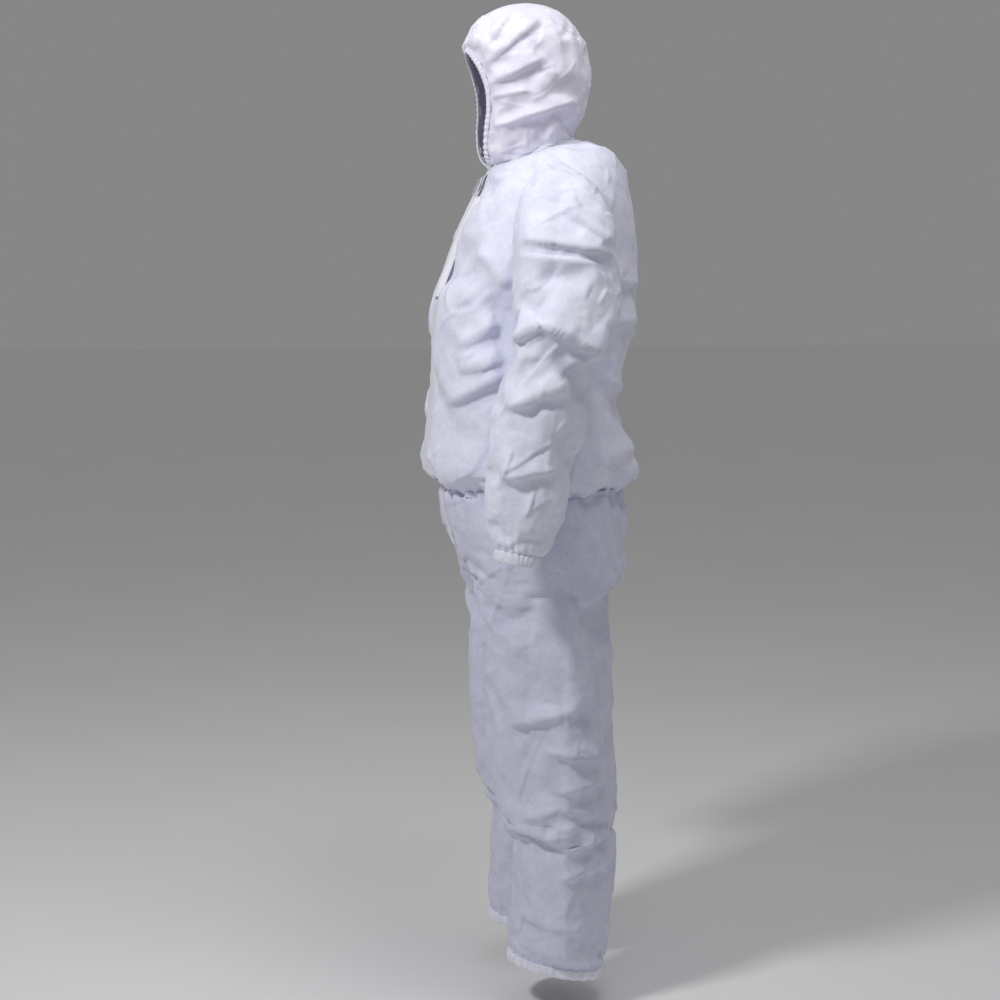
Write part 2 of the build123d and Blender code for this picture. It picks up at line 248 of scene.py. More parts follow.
def settle(p, hold, growth, most):
    # the cloth is let grow a little on soft pins, so that it buckles into folds and sags; hold 1 is fixed,
    # and no point moves further than most
    s = settleSettings
    step = s["step"]
    net = p[::step, ::step]
    obj = gridMesh("settling", net, bodyCloth)
    pins = obj.vertex_groups.new(name="hold")
    level = np.round(hold[::step, ::step].ravel() * s["pinLevels"]) / s["pinLevels"]
    for value in np.unique(level):
        pins.add(np.flatnonzero(level == value).tolist(), float(value), "REPLACE")
    cloth = obj.modifiers.new("cloth", "CLOTH")
    cloth.settings.quality = s["quality"]
    cloth.settings.mass = s["mass"]
    cloth.settings.air_damping = s["damping"]
    cloth.settings.tension_stiffness = s["stiffness"]
    cloth.settings.compression_stiffness = s["stiffness"]
    cloth.settings.shear_stiffness = s["stiffness"] / 2
    cloth.settings.bending_stiffness = s["bending"]
    cloth.settings.vertex_group_mass = "hold"
    cloth.settings.shrink_min = -growth
    cloth.settings.effector_weights.gravity = s["gravity"]
    cloth.collision_settings.use_collision = False
    cloth.point_cache.frame_start = 1
    cloth.point_cache.frame_end = s["frames"]
    for number in range(1, s["frames"] + 1):
        bpy.context.scene.frame_set(number)
    settled = obj.evaluated_get(bpy.context.evaluated_depsgraph_get()).to_mesh()
    q = np.empty(net.size)
    settled.vertices.foreach_get("co", q)
    moved = q.reshape(net.shape) - net
    bpy.data.objects.remove(obj)
    bpy.context.scene.frame_set(1)
    size = np.linalg.norm(moved, axis=-1, keepdims=True)
    moved = moved * (most * np.tanh(size / most) / np.maximum(size, 1e-6))
    moved = refine(moved, p.shape[0], step, False)
    moved = np.swapaxes(refine(np.swapaxes(moved, 0, 1), p.shape[1], step, True), 0, 1)
    return p + moved * (1 - smoothStep(hold, 0.8, 1.0))[..., None]


def ringPoints(y0, y1, half, rise, square, z, cols):
    # rings of a superellipse: x goes with the sine and y with the minus cosine of the angle, counted from
    # the front centre, and each ring rises towards the back by rise
    t = np.linspace(0, 2 * np.pi, cols, endpoint=False)
    power = (2.0 / square)[:, None]
    s, c = np.sin(t)[None, :], np.cos(t)[None, :]
    x = half[:, None] * np.sign(s) * np.abs(s) ** power
    middle, reach = ((y0 + y1) / 2)[:, None], ((y1 - y0) / 2)[:, None]
    y = middle - reach * np.sign(c) * np.abs(c) ** power
    return np.stack([x, y, z[:, None] + rise[:, None] * y], axis=-1)


def gatherRipple(angle, count, seed):
    # uneven pleats round an elastic, 0 to 1: a wave whose pace and height wander with the angle
    rng = np.random.default_rng(seed)
    turn = 6.3
    pace = sum(rng.uniform(0.2, 0.6) * np.sin(k * angle + rng.uniform(0, turn)) for k in (2, 3, 5, 7))
    fullness = 0.65 + 0.35 * np.sin(3 * angle + rng.uniform(0, turn))
    return 0.5 + 0.5 * np.sin(count * angle + 2.2 * pace) * fullness


def gatherReach(angle, cut, paces, start):
    # how far the pleats run from the elastic: a mean length that wanders at two paces round the body
    mean, wander, flicker, least = cut["gatherReach"]
    slow, quick = np.sin(paces[0] * angle + start), np.sin(paces[1] * angle)
    return np.maximum(mean + wander * slow + flicker * quick, least)


def tubeAlong(name, path, across, outward, radiusA, radiusB, material, sides=14):
    # a tube of oval section carried round a closed path: one radius across it, one outward
    t = np.linspace(0, 2 * np.pi, sides, endpoint=False)
    ring = across[:, None, :] * (radiusA[:, None] * np.cos(t))[..., None]
    ring = ring + outward[:, None, :] * (radiusB[:, None] * np.sin(t))[..., None]
    p = path[:, None, :] + ring
    return gridMesh(name, np.concatenate([p, p[:1]], axis=0), material)


# materials


def linearColour(code, alpha=1.0):
    # sRGB hex to linear light
    parts = [int(code[k : k + 2], 16) / 255 for k in (0, 2, 4)]
    return tuple(c / 12.92 if c <= 0.04045 else ((c + 0.055) / 1.055) ** 2.4 for c in parts) + (alpha,)


def addNode(material, kind, settings=None, links=None):
    # one node: its own properties, then constants on its sockets, then links from other nodes' outputs
    node = material.node_tree.nodes.new(kind)
    for key, value in (settings or {}).items():
        if isinstance(key, str) and hasattr(node, key) and key not in node.inputs:
            setattr(node, key, value)
        else:
            node.inputs[key].default_value = value
    for key, (source, output) in (links or {}).items():
        material.node_tree.links.new(source.outputs[output], node.inputs[key])
    return node


def startMaterial(name):
    # an empty node tree under that name
    material = bpy.data.materials.new(name)
    material.use_nodes = True
    material.node_tree.nodes.clear()
    return material


def mixColours(material, dark, light, factor):
    # from the dark tone to the light one; on a colour mix the two tones are sockets 6 and 7
    mix = addNode(material, "ShaderNodeMix", {"data_type": "RGBA"}, {"Factor": factor})
    mix.inputs[6].default_value = linearColour(dark)
    mix.inputs[7].default_value = linearColour(light)
    return mix


clothSettings = {
    "cloudMm": 34.0,  # thick and thin places in the web
    "flockMm": 6.0,
    "crinkleMm": 12.0,
    "fibreMm": 1.6,
    "bondMm": 2.6,  # bond points, a little coarser than the real 1.5 mm so that they show
    "roughness": 0.74,
}


def nonwoven(name, light, dark, shift=0.0):
    # polypropylene nonwoven, spun, melt-blown and point-bonded: milky, matt and cloudy, with a grid of
    # small dents; shift moves the pattern, so that no two of these cloths carry the same one
    s = clothSettings
    m = startMaterial(name)
    place = addNode(m, "ShaderNodeTexCoord")
    away = {"Location": (shift, 0.3 * shift, 0)}
    moved = addNode(m, "ShaderNodeMapping", away, {"Vector": (place, "Object")})
    onCloth = {"Vector": (moved, 0)}
    cloudLook = {"Scale": 1000 / s["cloudMm"], "Detail": 4.0, "Roughness": 0.62}
    flockLook = {"Scale": 1000 / s["flockMm"], "Detail": 4.0}
    fibreLook = {"Scale": 1000 / s["fibreMm"], "Detail": 2.0, "Distortion": 1.5}
    crinkleLook = {"Scale": 1000 / s["crinkleMm"], "Detail": 5.0, "Roughness": 0.5}
    cloud = addNode(m, "ShaderNodeTexNoise", cloudLook, onCloth)
    flock = addNode(m, "ShaderNodeTexNoise", flockLook, onCloth)
    fibre = addNode(m, "ShaderNodeTexNoise", fibreLook, onCloth)
    crinkle = addNode(m, "ShaderNodeTexNoise", crinkleLook, onCloth)
    web = addNode(m, "ShaderNodeMix", {"data_type": "FLOAT", "Factor": 0.35}, {2: (cloud, 0), 3: (flock, 0)})
    tone = addNode(m, "ShaderNodeMapRange", {"From Min": 0.34, "From Max": 0.66}, {"Value": (web, 0)})
    colour = mixColours(m, dark, light, (tone, 0))
    way = addNode(m, "ShaderNodeUVMap", {"uv_map": "clothWay"})
    bondLook = {"Scale": 1000 / s["bondMm"], "Randomness": 0.15}
    bonds = addNode(m, "ShaderNodeTexVoronoi", bondLook, {"Vector": (way, 0)})
    dent = addNode(m, "ShaderNodeMapRange", {"From Max": 0.35}, {"Value": (bonds, 0)})
    # three reliefs, each on top of the one before: crinkles, fibres, bond points
    crinkled = addNode(m, "ShaderNodeBump", {"Strength": 0.5, "Distance": 0.0016}, {"Height": (crinkle, 0)})
    fibreRelief = {"Height": (fibre, 0), "Normal": (crinkled, 0)}
    fibrous = addNode(m, "ShaderNodeBump", {"Strength": 0.2, "Distance": 0.0002}, fibreRelief)
    bondRelief = {"Height": (dent, 0), "Normal": (fibrous, 0)}
    bonded = addNode(m, "ShaderNodeBump", {"Strength": 0.15, "Distance": 0.0002}, bondRelief)
    matt = {"To Min": s["roughness"] - 0.1, "To Max": s["roughness"] + 0.12}
    rough = addNode(m, "ShaderNodeMapRange", matt, {"Value": (flock, 0)})
    finish = {"Specular IOR Level": 0.3, "Sheen Weight": 0.1, "Sheen Roughness": 0.5}
    surface = {"Base Color": (colour, 2), "Roughness": (rough, 0), "Normal": (bonded, 0)}
    shader = addNode(m, "ShaderNodeBsdfPrincipled", finish, surface)
    addNode(m, "ShaderNodeOutputMaterial", {}, {"Surface": (shader, 0)})
    return m


ribSettings = {"grainMm": 1.2, "depth": 0.0002}


def ribbed(name, light, dark, ribStep, roughness, axis="Z", metallic=0.0):
    # soft even ribs along one axis with a little uneven grain, for tapes, coil, metal and paper trims;
    # the wave texture counts in radians, so one rib takes 6.3 steps of ribStep millimetres
    m = startMaterial(name)
    place = addNode(m, "ShaderNodeTexCoord")
    onTrim = {"Vector": (place, "Object")}
    ribLook = {"bands_direction": axis, "Scale": 1000 / ribStep / 20, "Distortion": 1.0}
    ribLook.update({"Detail": 2.0, "Detail Scale": 2.0})
    ribs = addNode(m, "ShaderNodeTexWave", ribLook, onTrim)
    grainLook = {"Scale": 1000 / ribSettings["grainMm"], "Detail": 3.0}
    grain = addNode(m, "ShaderNodeTexNoise", grainLook, onTrim)
    reliefWithPaintedShade = addNode(m, "ShaderNodeMix", {"data_type": "FLOAT", "Factor": 0.45}, {2: (ribs, 0), 3: (grain, 0)})
    # the colour follows the relief: the dark tone in the hollows of the ribs and grain is painted shade
    colour = mixColours(m, dark, light, (reliefWithPaintedShade, 0))
    bumpLook = {"Strength": 0.5, "Distance": ribSettings["depth"]}
    bump = addNode(m, "ShaderNodeBump", bumpLook, {"Height": (reliefWithPaintedShade, 0)})
    matt = {"To Min": roughness - 0.08, "To Max": roughness + 0.1}
    rough = addNode(m, "ShaderNodeMapRange", matt, {"Value": (grain, 0)})
    surface = {"Base Color": (colour, 2), "Roughness": (rough, 0), "Normal": (bump, 0)}
    shader = addNode(m, "ShaderNodeBsdfPrincipled", {"Metallic": metallic}, surface)
    addNode(m, "ShaderNodeOutputMaterial", {}, {"Surface": (shader, 0)})
    return m


# the nonwoven reads milky and faintly blue: hood and sleeves a touch brighter as painted light from above,
# legs a tone darker as painted shade, flap a touch brighter
bodyCloth = nonwoven("pointBondedNonwoven", "EDEEFD", "DCDEF3")
# hood and sleeves: the same cloth painted lighter, as painted light where the top light falls
hoodClothPaintedLight = nonwoven("pointBondedNonwovenHoodPaintedLight", "F3F0FD", "E3E1F4", 0.7)
sleeveClothPaintedLight = nonwoven("pointBondedNonwovenSleevePaintedLight", "EFF0FE", "DEE0F5", 1.3)
# legs: the same cloth painted darker, as painted shade where less light reaches
legClothPaintedShade = nonwoven("pointBondedNonwovenLegsPaintedShade", "DCDDEF", "C9CBE1", 1.9)
flapCloth = nonwoven("doubledNonwovenFlap", "F1F0F8", "E2E1EF", 2.5)
hemCloth = nonwoven("overlockedNonwovenHem", "F1F1FB", "DFE0EF", 3.1)
# trims: matt woven tapes, a smoother moulded coil, satin painted metal, waxy backing paper, a matt label
bindingTape = ribbed("wovenPolyesterBinding", "EDEDF4", "D5D6E2", 0.8, 0.8)
zipperTape = ribbed("wovenPolyesterZipperTape", "EBECF2", "D0D2DE", 0.7, 0.8)
zipperNylon = ribbed("mouldedNylonCoil", "F2F2F4", "D4D5DC", 1.3, 0.4)
zipperMetal = ribbed("paintedZincDiecast", "E4E5EA", "C2C4CC", 2.6, 0.35, "X", 0.35)
sealingTape = ribbed("siliconePaperBacking", "F4F2EA", "E2DFD4", 3.0, 0.45, "X")
labelPaper = ribbed("printedSpunLabel", "F6F6F6", "DADADF", 2.2, 0.8, "X")
print("materials made")

# bodice: from the neck seam to the waist elastic
bodiceCut = {
    "rows": 211,
    "cols": 224,
    # height, front y, back y, half width, rise per metre of y, squareness
    "profile": [
        (0.004, -0.085, 0.070, 0.078, 0.35, 2.0),
        (-0.012, -0.093, 0.098, 0.098, 0.33, 2.0),
        (-0.035, -0.098, 0.134, 0.128, 0.26, 2.05),
        (-0.062, -0.108, 0.155, 0.158, 0.17, 2.15),
        (-0.095, -0.120, 0.166, 0.176, 0.08, 2.25),
        (-0.146, -0.139, 0.175, 0.183, 0.0, 2.3),
        (-0.203, -0.161, 0.176, 0.184, 0.0, 2.3),
        (-0.259, -0.181, 0.174, 0.184, 0.0, 2.3),
        (-0.315, -0.187, 0.168, 0.186, 0.0, 2.3),
        (-0.371, -0.189, 0.155, 0.189, 0.0, 2.3),
        (-0.428, -0.192, 0.146, 0.192, 0.0, 2.3),
        (-0.484, -0.198, 0.154, 0.196, 0.0, 2.25),
        (-0.540, -0.203, 0.172, 0.203, 0.0, 2.2),
        (-0.568, -0.204, 0.184, 0.206, 0.0, 2.15),
        (-0.586, -0.197, 0.181, 0.204, 0.0, 2.1),
        (-0.598, -0.181, 0.166, 0.194, 0.0, 2.1),
        (-0.606, -0.171, 0.157, 0.187, 0.0, 2.1),
        (-0.612, -0.170, 0.156, 0.186, 0.0, 2.1),
    ],
    "zipStrip": (0.016, 0.055),  # half widths of the front strip: all flat, all free
    "gathers": 36,
    "gatherHeight": 0.006,
    "gatherReach": (0.045, 0.02, 0.012, 0.012),  # mean, slow and quick wander, least
    "swells": (0.008, 0.2),  # height and width of the broad facets, before the cloth settles
    "facets": (0.0040, 0.09),  # the same after it has settled
    "crinkles": (0.0010, 0.035),
    "folds": (0.085, 0.0050),  # spacing and height
    "seeds": (23, 24, 201),
    "growth": 0.05,
    "most": 0.008,
    "creases": [
        (-0.150, -0.345, -0.095, -0.305, 0.010, 0.030, 0.006),
        (-0.148, -0.388, -0.088, -0.366, 0.009, 0.030, 0.006),
        (-0.170, -0.445, -0.088, -0.395, 0.012, 0.040, 0.005),
        (-0.120, -0.180, -0.080, -0.240, 0.007, 0.020, 0.008),
        (0.100, -0.230, 0.170, -0.236, 0.008, 0.022, 0.006),
        (0.100, -0.305, 0.165, -0.300, 0.009, 0.025, 0.006),
        (0.090, -0.400, 0.150, -0.430, 0.008, 0.030, 0.008),
        (0.075, -0.548, 0.170, -0.530, 0.010, 0.035, 0.008),
    ],
}


def flatFront(p, inner, outer):
    # 1 on the front strip that the zipper holds flat, 0 away from it
    return (1 - smoothStep(np.abs(p[..., 0]), inner, outer)) * (p[..., 1] < 0)


def makeBodice(cut):
    # rings of the profile from neck to waist, moved along their normals by facets, creases, folds and gathers
    heights = np.array([row[0] for row in cut["profile"]])
    z = np.interp(np.linspace(0, 1, cut["rows"]), np.linspace(0, 1, len(heights)), heights)
    y0, y1, half, rise, square = throughRows(cut["profile"], z)
    p = ringPoints(y0, y1, half, rise, square, z, cut["cols"])
    n = gridNormals(p)
    angle = np.linspace(0, 2 * np.pi, cut["cols"], endpoint=False)[None, :]
    free = smoothStep(-z, 0.0, 0.05)[:, None] * (1 - flatFront(p, *cut["zipStrip"]))
    lift = cut["swells"][0] * crumple(p, 11, cut["swells"][1]) * free
    lift += creasesBothSides(p, n, cut["creases"]) * free
    p = p + n * lift[..., None]
    # the neck seam, the waist elastic and the zipper hold the cloth; the middle is free to fold
    edge = np.maximum(1 - smoothStep(-z, 0.0, 0.04), smoothStep(-z, 0.585, 0.612))[:, None]
    hold = np.maximum(np.maximum(edge, flatFront(p, 0.03, 0.06)), 0.3)
    p = settle(p, hold, cut["growth"], cut["most"])
    n = gridNormals(p)
    fromWaist = z[:, None] - heights[-1]
    lift = fineRelief(p, cut, cut["seeds"]) * free
    lift += 0.5 * creasesBothSides(p, n, cut["creases"]) * free
    gather = gatherRipple(angle, cut["gathers"], 5) - 0.5
    reach = gatherReach(angle, cut, (3, 7), 1)
    lift += cut["gatherHeight"] * gather * np.exp(-fromWaist / reach) * (1 - flatFront(p, *cut["zipStrip"]))
    # the cloth dips behind the zipper's tapes
    lift -= 0.0016 * flatFront(p, 0.0135, 0.0155)
    return gridMesh("bodice", p + n * lift[..., None], bodyCloth)


bodice = makeBodice(bodiceCut)
thicken(bodice, "cloth")
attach(bodice, "bodice")
print("bodice made")

# hood: from the neck seam to the crown, with the face opening cut out
hoodCut = {
    "rows": 190,
    "cols": 245,
    # height, front y, back y, half width, rise per metre of y, squareness
    "profile": [
        (0.004, -0.085, 0.070, 0.078, 0.35, 2.0),
        (0.012, -0.098, 0.066, 0.079, 0.30, 2.0),
        (0.024, -0.110, 0.066, 0.081, 0.22, 2.0),
        (0.045, -0.119, 0.073, 0.087, 0.10, 2.0),
        (0.075, -0.122, 0.087, 0.093, 0.03, 2.0),
        (0.110, -0.123, 0.094, 0.097, 0.0, 2.0),
        (0.145, -0.125, 0.097, 0.099, 0.0, 2.0),
        (0.188, -0.1265, 0.091, 0.094, 0.0, 2.0),
        (0.213, -0.119, 0.080, 0.083, 0.0, 2.0),
        (0.238, -0.104, 0.063, 0.065, 0.0, 2.0),
        (0.2525, -0.083, 0.046, 0.047, 0.0, 2.0),
        (0.264, -0.056, 0.022, 0.026, 0.0, 2.0),
        (0.2692, -0.028, -0.004, 0.006, 0.0, 2.0),
        (0.2695, -0.017, -0.015, 0.001, 0.0, 2.0),
    ],
    "faceZ": 0.094,
    "faceHalfWidth": 0.062,
    "faceHalfHeight": 0.092,
    "pleats": 20,
    "pleatHeight": 0.0065,
    "drawnIn": (0.004, 0.012),  # depth and reach of the elastic's pull on the opening's edge
    "seamX": 0.036,  # the seams either side of the centre panel
    "seamWidth": 0.0022,
    "seamHeight": 0.0016,
    "swells": (0.003, 0.11),
    "facets": (0.0018, 0.06),
    "crinkles": (0.0008, 0.028),
    "folds": (0.055, 0.0026),
    "seeds": (37, 38, 231),
    "growth": 0.05,
    "most": 0.007,
    "creases": [
        (-0.098, 0.155, -0.012, 0.226, 0.0065, 0.022, 0.004),
        (-0.089, 0.120, -0.007, 0.160, 0.0065, 0.024, 0.004),
        (-0.119, 0.180, -0.098, 0.230, 0.0050, 0.014, 0.004),
        (-0.108, 0.168, -0.055, 0.245, 0.0045, 0.016, 0.004),
        (-0.092, 0.095, -0.030, 0.105, 0.0050, 0.018, 0.004),
        (-0.058, 0.052, 0.056, 0.089, 0.0085, 0.014, 0.004),
        (-0.085, 0.045, -0.058, 0.050, 0.0050, 0.010, 0.004),
        (0.005, 0.020, 0.030, 0.056, 0.0045, 0.010, 0.004),
    ],
}


def faceCurve(cut, t):
    # the opening's edge: an ellipse in x and z, laid on the hood's own rings
    x = cut["faceHalfWidth"] * np.sin(t)
    z = cut["faceZ"] + cut["faceHalfHeight"] * np.cos(t)
    y0, y1, half, rise, _ = throughRows(cut["profile"], z)
    y = (y0 + y1) / 2 - (y1 - y0) / 2 * np.sqrt(np.clip(1 - (x / half) ** 2, 0, 1))
    return np.stack([x, y, z + rise * y], axis=-1)


def makeHood(cut):
    # rings of the profile from neck to crown, creased, settled and pleated round the face opening;
    # the crown is nearly level, so its rings are counted, not placed by height
    counted = [(k, *row) for k, row in enumerate(cut["profile"])]
    z, y0, y1, half, rise, square = throughRows(counted, np.linspace(0, len(counted) - 1, cut["rows"]))
    p = ringPoints(y0, y1, half, rise, square, z, cut["cols"])
    n = gridNormals(p)
    front = p[..., 1] < ((y0 + y1) / 2)[:, None]
    ex = p[..., 0] / cut["faceHalfWidth"]
    ez = (z[:, None] - cut["faceZ"]) / cut["faceHalfHeight"]
    away = np.hypot(ex, ez)
    around = np.arctan2(ex, ez)
    meanRadius, farAway = 0.075, 0.2
    fromEdge = np.where(front, (away - 1) * meanRadius, farAway)
    crown = 1 - smoothStep(z, 0.245, 0.268)[:, None]
    base = smoothStep(z, 0.004, 0.02)[:, None]
    lift = creasesBothSides(p, n, cut["creases"]) * crown
    lift += cut["swells"][0] * crumple(p, 31, cut["swells"][1]) * crown * base
    p = p + n * lift[..., None]
    # the casing, the neck seam and the crown hold the cloth; the sides are free to fold
    rim = 1 - smoothStep(fromEdge, 0.004, 0.02)
    hold = np.maximum(rim, 1 - smoothStep(z, 0.004, 0.02)[:, None])
    hold = np.maximum(hold, 0.4 + 0.6 * smoothStep(z, 0.15, 0.262)[:, None])
    p = settle(p, hold, cut["growth"], cut["most"])
    n = gridNormals(p)
    pleat = gatherRipple(around, cut["pleats"], 7) - 0.5
    reach = np.maximum(0.026 + 0.011 * np.sin(4 * around + 0.6) + 0.007 * np.sin(9 * around), 0.01)
    lift = cut["pleatHeight"] * pleat * np.exp(-np.abs(fromEdge) / reach) * smoothStep(fromEdge, -0.02, 0.006)
    lift -= cut["drawnIn"][0] * np.exp(-np.abs(fromEdge) / cut["drawnIn"][1])
    lift += fineRelief(p, cut, cut["seeds"]) * base
    lift += 0.5 * creasesBothSides(p, n, cut["creases"]) * base
    # two lengthwise seams run either side of the centre panel, from above the face to the nape
    offSeam = (np.abs(p[..., 0]) - cut["seamX"]) / cut["seamWidth"]
    seam = np.exp(-(offSeam**2)) * ~(front & (z[:, None] < 0.19))
    q = p + n * ((lift + cut["seamHeight"] * seam) * crown)[..., None]
    # faces well inside the opening go, and the rim that is left is drawn onto the opening's edge
    inside = front & (away < 1)
    beside = np.roll(inside, -1, 1)
    gone = inside[:-1] & beside[:-1] & inside[1:] & beside[1:]
    q = np.where(inside[..., None], faceCurve(cut, around) + n * (lift * crown)[..., None], q)
    return gridMesh("hood", q, hoodClothPaintedLight, dropped=gone, cap=True)


hood = makeHood(hoodCut)
thicken(hood, "cloth")
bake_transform(hood)


casingCut = {
    "points": 700,
    "gathers": 62,
    "inset": 0.0022,
    "wander": 0.0008,
    "halfWidth": (0.0046, 0.0012),  # least, and what the gathers add
    "halfThickness": (0.0017, 0.0012),
}


def makeFaceCasing(cut, casing):
    # an oval tube round the opening's edge, swelling and thinning with its gathers
    t = np.linspace(0, 2 * np.pi, casing["points"], endpoint=False)
    path = faceCurve(cut, t)
    along = np.roll(path, -1, 0) - np.roll(path, 1, 0)
    along /= np.linalg.norm(along, axis=1, keepdims=True)
    outward = path - np.array([0, -0.02, cut["faceZ"]])
    outward -= along * (outward * along).sum(1, keepdims=True)
    outward /= np.linalg.norm(outward, axis=1, keepdims=True)
    across = np.cross(along, outward)
    ripple = gatherRipple(t, casing["gathers"], 9)
    path = path + outward * (casing["wander"] * ripple - casing["inset"])[:, None]
    wide, thick = (least + more * ripple for least, more in (casing["halfWidth"], casing["halfThickness"]))
    return tubeAlong("faceCasing", path, across, outward, wide, thick, hemCloth)


faceCasing = makeFaceCasing(hoodCut, casingCut)
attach(faceCasing, "hood")
print("hood made")

# sleeves: from the shoulder to the wrist, split at the elbow
sleeveCut = {
    "rows": 281,
    "cols": 182,
    # share along the sleeve, inner x and z, outer x and z, middle y, half depth, squareness
    "profile": [
        (0.00, 0.078, -0.085, 0.080, 0.000, 0.018, 0.030, 2.0),
        (0.06, 0.108, -0.160, 0.118, -0.016, 0.016, 0.050, 2.1),
        (0.12, 0.148, -0.230, 0.160, -0.031, 0.014, 0.068, 2.3),
        (0.18, 0.180, -0.262, 0.210, -0.055, 0.012, 0.080, 2.5),
        (0.24, 0.190, -0.275, 0.256, -0.090, 0.010, 0.086, 2.7),
        (0.30, 0.196, -0.288, 0.296, -0.145, 0.009, 0.088, 2.8),
        (0.36, 0.202, -0.303, 0.317, -0.205, 0.008, 0.087, 2.8),
        (0.42, 0.208, -0.322, 0.332, -0.262, 0.006, 0.086, 2.8),
        (0.48, 0.214, -0.346, 0.340, -0.312, 0.000, 0.084, 2.7),
        (0.52, 0.220, -0.372, 0.342, -0.346, -0.008, 0.080, 2.6),
        (0.55, 0.224, -0.392, 0.340, -0.366, -0.018, 0.076, 2.5),
        (0.60, 0.228, -0.432, 0.341, -0.412, -0.034, 0.075, 2.4),
        (0.68, 0.232, -0.492, 0.345, -0.478, -0.047, 0.075, 2.3),
        (0.76, 0.238, -0.560, 0.347, -0.548, -0.060, 0.071, 2.2),
        (0.84, 0.245, -0.620, 0.349, -0.612, -0.070, 0.064, 2.1),
        (0.92, 0.254, -0.665, 0.344, -0.661, -0.077, 0.053, 2.0),
        (0.97, 0.262, -0.686, 0.339, -0.684, -0.080, 0.041, 2.0),
        (1.00, 0.266, -0.692, 0.336, -0.691, -0.082, 0.036, 2.0),
    ],
    "split": 0.525,
    "lean": 0.18,
    "gathers": 22,
    "gatherHeight": 0.006,
    "swells": (0.0075, 0.17),
    "facets": (0.0038, 0.085),
    "crinkles": (0.0010, 0.034),
    "folds": (0.08, 0.0046),
    "seed": {"left": 41, "right": 141},
    "growth": 0.045,
    "most": 0.007,
    "creases": [
        (-0.066, -0.161, 0.070, -0.183, 0.010, 0.024, 0.004),
        (-0.066, -0.185, 0.060, -0.202, 0.007, 0.005, 0.020),
        (0.000, -0.108, 0.078, -0.168, 0.008, 0.030, 0.004),
        (-0.028, -0.085, 0.020, -0.100, 0.005, 0.014, 0.006),
        (-0.094, -0.330, -0.050, -0.302, 0.012, 0.030, 0.004),
        (-0.050, -0.302, 0.055, -0.352, 0.017, 0.050, 0.004),
        (0.010, -0.520, 0.060, -0.460, 0.008, 0.020, 0.006),
        (-0.100, -0.440, 0.000, -0.400, 0.009, 0.030, 0.008),
        (-0.110, -0.560, -0.020, -0.545, 0.008, 0.026, 0.006),
    ],
}


def makeSleeve(cut, side):
    # rings strung between an inner and an outer edge line, made on the left and mirrored for the right
    v = np.linspace(0, 1, cut["rows"])
    ix, iz, ox, oz, y, depth, square = throughRows(cut["profile"], v)
    t = np.linspace(0, 2 * np.pi, cut["cols"], endpoint=False)
    power = (2.0 / square)[:, None]
    c, s = np.cos(t)[None, :], np.sin(t)[None, :]
    u = np.sign(c) * np.abs(c) ** power  # minus one on the inner edge, plus one on the outer
    w = np.sign(s) * np.abs(s) ** power
    x = ((ix + ox) / 2)[:, None] + ((ox - ix) / 2)[:, None] * u
    z = ((iz + oz) / 2)[:, None] + ((oz - iz) / 2)[:, None] * u
    p = np.stack([x, y[:, None] + depth[:, None] * w, z], axis=-1)
    # the forearm's rings lean with the forearm: the front edge sits higher than the back edge
    lean = smoothStep(v, 0.55, 0.8)[:, None] * cut["lean"]
    p[..., 2] -= lean * (p[..., 1] - y[:, None])
    n = gridNormals(p)
    seed = cut["seed"][side]
    ends = smoothStep(v, 0.04, 0.12)[:, None] * (1 - smoothStep(v, 0.95, 1.0))[:, None]
    lift = cut["swells"][0] * crumple(p, seed, cut["swells"][1]) * ends
    lift += creaseLines(p, n, cut["creases"]) * ends
    p = p + n * lift[..., None]
    hold = np.maximum(np.maximum(1 - smoothStep(v, 0.1, 0.2), smoothStep(v, 0.94, 0.99)), 0.32)
    p = settle(p, hold[:, None] + 0 * p[..., 0], cut["growth"], cut["most"])
    n = gridNormals(p)
    lift = fineRelief(p, cut, (seed + 5, seed + 6, seed + 200)) * ends
    lift += 0.6 * creaseLines(p, n, cut["creases"]) * ends
    gather = gatherRipple(np.arctan2(s, c) + 0 * v[:, None], cut["gathers"], seed + 3) - 0.5
    lift += cut["gatherHeight"] * gather * np.exp(-(1 - v)[:, None] / 0.045)
    q = p + n * lift[..., None]
    if side == "right":
        q = mirrored(q)
    k = int(cut["split"] * (cut["rows"] - 1))
    top = gridMesh(side + "SleeveTop", q[: k + 1], sleeveClothPaintedLight)
    low = gridMesh(side + "SleeveLower", q[k:], sleeveClothPaintedLight)
    return top, low, q[-1]


